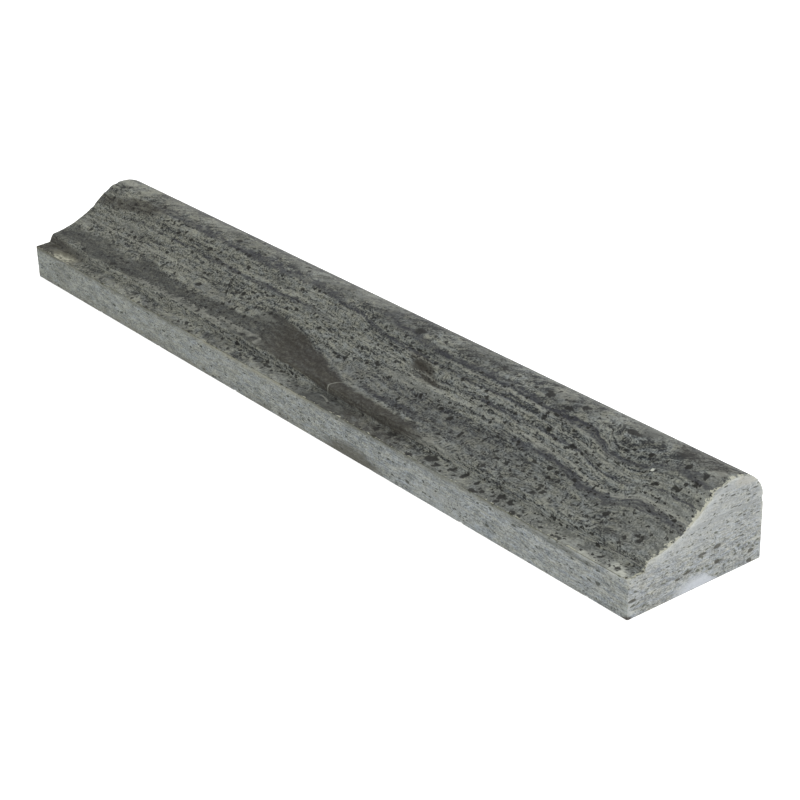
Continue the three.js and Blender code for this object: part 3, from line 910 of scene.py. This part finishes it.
def honed_slate(pattern):
    """Banded slate, honed and sealed: dark, with a dull sheen, and paler where an arris is worn."""
    material, tree, colour, height, spot = new_stone_material(
        "honed banded slate", pattern, "Honed", grains=1.0, banding=1.0)
    to_arris = add(tree, "ShaderNodeAttribute", output="Fac", attribute_name="arris")
    nibble = mottle(tree, spot, (1.2, 1.2, 0.8), roughness=0.6, seed=41)
    reach = add(tree, MATH, {0: nibble, 1: 2.4, 2: to_arris}, operation="MULTIPLY_ADD")
    x, y, _ = add(tree, SEPARATE, {0: spot}).node.outputs
    at_right = add(tree, MAP_RANGE, {"Value": x, "From Min": END - 4, "From Max": END - 2})
    on_slope = ellipsoid(tree, spot, (END, 4.5, 22), (5, 6, 6))
    for where, further in ((at_right, -0.8), (on_slope, -0.6)):
        reach = add(tree, MATH, {0: where, 1: further, 2: reach}, operation="MULTIPLY_ADD")
    worn = add(tree, MAP_RANGE, {"Value": reach, "From Min": 1.2, "From Max": 0.8, "To Max": 0.75})
    unworn = stretch(tree, x, -82, -48, 4)
    less = add(tree, MATH, {0: unworn, 1: -0.85, 2: 1.0}, operation="MULTIPLY_ADD")
    off_ledge = add(tree, MAP_RANGE, {"Value": y, "From Min": -20, "From Max": -17})
    rubbed = coated(tree, linear("#9e9e8e"), linear("#b2b2a2"), at_right, off_ledge)
    colour = coated(tree, colour, rubbed, worn, less)
    halo = ellipsoid(tree, spot, LEDGE_BRUISE, (9.5, 3.4, 3), outside=1.15, inside=0.7)
    sugary = mottle(tree, spot, (1.8, 1.5, 1.2), 0.35, 0.62, detail=3.0, roughness=0.7, seed=53)
    colour = coated(tree, colour, linear("#7f7e70"), halo, sugary, 0.55)
    return painted(material, colour, height, 0.56, 0.5, 0.06)


def edge_sawn_slate(pattern):
    """Banded slate sawn along its beds: grey with stone dust, matt, its beds hardly told apart."""
    material, tree, colour, height, spot = new_stone_material(
        "slate sawn along its beds", pattern, "Sawn edge", grains=0.5, banding=0.25)
    # Lighter towards the right end and darker towards the left.
    x, _, z = add(tree, SEPARATE, {0: spot}).node.outputs
    lighter_to_right = add(tree, MAP_RANGE, {"Value": x, "From Min": -END, "From Max": END})
    tint = coated(tree, linear("#e8eaea"), linear("#ffffff"), lighter_to_right)
    colour = coated(tree, colour, tint, 1.0, blend="MULTIPLY")

    # Dirt lies from just under the ledge's arris up, so over the top of the thick edge too. It is rubbed
    # beige in the middle of the bar. More lies along the foot, away from the right end.
    patchy = mottle(tree, spot, (5, 4, 1.4), 0.35, 0.6, detail=3.0, roughness=0.65, seed=47)
    under_arris = add(tree, MAP_RANGE, {
        "Value": z,
        "From Min": FRONT_EDGE_HEIGHT - 1.9,
        "From Max": FRONT_EDGE_HEIGHT - 0.4,
        "To Max": 0.75,
    })
    dirt = coated(tree, linear("#5b5b51"), linear("#7b7968"), stretch(tree, x, -50, 18))
    patchy_dirt = add(tree, MATH, {0: patchy, 1: 0.6, 2: 0.4}, operation="MULTIPLY_ADD")
    colour = coated(tree, colour, dirt, under_arris, patchy_dirt, stretch(tree, x, PAST_LEFT, 130, 10))
    at_foot = add(tree, MAP_RANGE, {"Value": z, "From Min": 3.4, "From Max": 0.6, "To Max": 0.5})
    soiled = stretch(tree, x, PAST_LEFT, 30, 25)
    colour = coated(tree, colour, linear("#5f5c51"), at_foot, soiled, patchy)
    return painted(material, colour, height, 0.85, 0.5, 0.08)


# On the right end: a smooth pale patch at the foot with a straight slanting edge, and the dark grains
# that stand out, as (y, z, half sizes in Y and Z). Grains also lie in rows, at these heights.
END_PATCH = {
    "middle": (0.3, -0.2),
    "half sizes": (10.3, 4.8),
    "edge through": (1.5, 3.9),
    "edge slope": 0.6,
}
END_GRAINS = (
    (7.2, 10, 1.4, 0.7), (1.8, 9.7, 1.6, 0.5), (7.2, 5.3, 1.1, 0.6), (19.9, 3.7, 1.1, 0.6),
    (19.7, 0.8, 1.2, 0.7), (-7.8, 5.4, 1.1, 0.45), (-3.8, 6.2, 1.3, 0.4), (-23, 5.4, 1.2, 0.45),
)
GRAIN_ROWS = (9.8, 5.5)


def end_sawn_slate_with_painted_light(pattern):
    """Banded slate sawn across its beds: paler still, partly bruised and partly painted light, and most
    bruised along the moulding.
    """
    material, tree, colour, height, spot = new_stone_material(
        "slate sawn across its beds, with painted light", pattern, "Sawn end with painted light", grains=0.6, banding=0.35)
    x, y, z = add(tree, SEPARATE, {0: spot}).node.outputs

    # Rub along the moulding's arris: broad and bluish, with a narrow creamy line over it. Both fade
    # before the foot.
    to_arris = add(tree, "ShaderNodeAttribute", output="Fac", attribute_name="arris")
    raised = add(tree, MAP_RANGE, {"Value": z, "From Min": 7, "From Max": 11})
    patchy = mottle(tree, spot, (3, 2.5, 1.5), 0.35, 0.65, roughness=0.6, seed=43)
    patchy = add(tree, MATH, {0: patchy, 1: 0.7, 2: 0.3}, operation="MULTIPLY_ADD")
    off_ledge = add(tree, MAP_RANGE, {"Value": y, "From Min": -20, "From Max": -17, "To Min": 0.25})
    raised = product(tree, raised, off_ledge)
    for reach, force, paint in ((5.0, 0.35, "#b2b5b6"), (1.2, 0.5, "#bdbeb2")):
        rub = add(tree, MAP_RANGE, {
            "Value": to_arris, "From Min": reach, "From Max": 0.2 * reach, "To Max": force,
        })
        colour = coated(tree, colour, linear(paint), rub, raised, patchy)

    # More grains, drawn out along the beds, thickest in their rows.
    dense = 0.2
    for row in GRAIN_ROWS:
        off = distance_from(tree, z, row)
        near = add(tree, MAP_RANGE, {"Value": off, "From Min": 1.4, "From Max": 0.4, "To Max": 0.5})
        dense = add(tree, MATH, {0: near, 1: dense}, operation="ADD")
    grains = scattered(tree, spot, (3.0, 3.0, 0.75), 0.36, dense)
    colour = coated(tree, colour, linear("#464640"), grains, 0.85)

    # The patch, a beige stain under the crown, and the grains that stand out.
    at_right = add(tree, MATH, {0: x, 1: 0.0}, operation="GREATER_THAN")
    slant = add(tree, MATH, {0: y, 1: END_PATCH["edge slope"], 2: z}, operation="MULTIPLY_ADD")
    edge_y, edge_z = END_PATCH["edge through"]
    limit = edge_y * END_PATCH["edge slope"] + edge_z
    inside = add(tree, MAP_RANGE, {"Value": slant, "From Min": limit + 0.1, "From Max": limit - 0.1})
    middle, half_sizes = END_PATCH["middle"], END_PATCH["half sizes"]
    patch = ellipsoid(tree, spot, (0, *middle), (THROUGH, *half_sizes), outside=1.05, inside=0.5)
    colour = coated(tree, colour, linear("#b4b8be"), patch, inside, at_right, 0.8)
    beige = ellipsoid(tree, spot, (END, 17, 26), (4, 4.5, 1.8))
    colour = coated(tree, colour, linear("#a6a398"), beige, 0.4)
    for grain_y, grain_z, *half_sizes in END_GRAINS:
        middle = (0, grain_y, grain_z)
        mask = ellipsoid(tree, spot, middle, (THROUGH, *half_sizes), outside=1.12, inside=0.85)
        colour = coated(tree, colour, linear("#46453f"), mask, at_right, 0.85)

    return painted(material, colour, height, 0.85, 0.5, 0.08)


def broken_slate(pattern):
    """Banded slate in a fresh break or a rubbed arris: bruised pale, with a sugary grain."""
    material, tree, colour, height, spot = new_stone_material(
        "broken banded slate", pattern, "Broken", grains=0.6, banding=0.6)

    # Fresh and pale at the ends and in patches, and rubbed grey elsewhere. The ledge's bruise is beige.
    x = add(tree, SEPARATE, {0: spot})
    from_middle = add(tree, MATH, {0: x}, operation="ABSOLUTE")
    at_end = add(tree, MAP_RANGE, {"Value": from_middle, "From Min": END - 4, "From Max": END - 1.5})
    patches = product(tree, mottle(tree, spot, (5, 5, 5), 0.5, 0.62, seed=51), 0.14)
    fresh = add(tree, MATH, {0: at_end, 1: patches}, operation="MAXIMUM")
    rubbed = coated(tree, colour, linear("#9a9b90"), 1.0, blend="MULTIPLY")
    colour = coated(tree, rubbed, colour, fresh)
    sugary = mottle(tree, spot, (1.8, 1.5, 1.2), 0.38, 0.6, detail=3.0, roughness=0.7, seed=53)
    bruised = coated(tree, linear("#54544a"), linear("#a09f90"), sugary)
    in_bruise = ellipsoid(tree, spot, LEDGE_BRUISE, (11, 4.5, 3), outside=1.05, inside=0.95)
    colour = coated(tree, colour, linear("#5d5c52"), in_bruise)
    hurt_most = ellipsoid(tree, spot, (LEDGE_BRUISE[0] + 1, FRONT, LEDGE_BRUISE[2]), (7, 4, 3))
    colour = coated(tree, colour, bruised, hurt_most)
    return painted(material, colour, height, 0.9, 0.8, 0.12)


# ---- The scene ----

add_camera()
add_floor()
add_lights()

slate = banded_slate()
bar = moulded_bar({
    "Honed": honed_slate(slate),
    "Sawn edge": edge_sawn_slate(slate),
    "Sawn end with painted light": end_sawn_slate_with_painted_light(slate),
    "Broken": broken_slate(slate),
})
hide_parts(TILE)
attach(bar, "root")
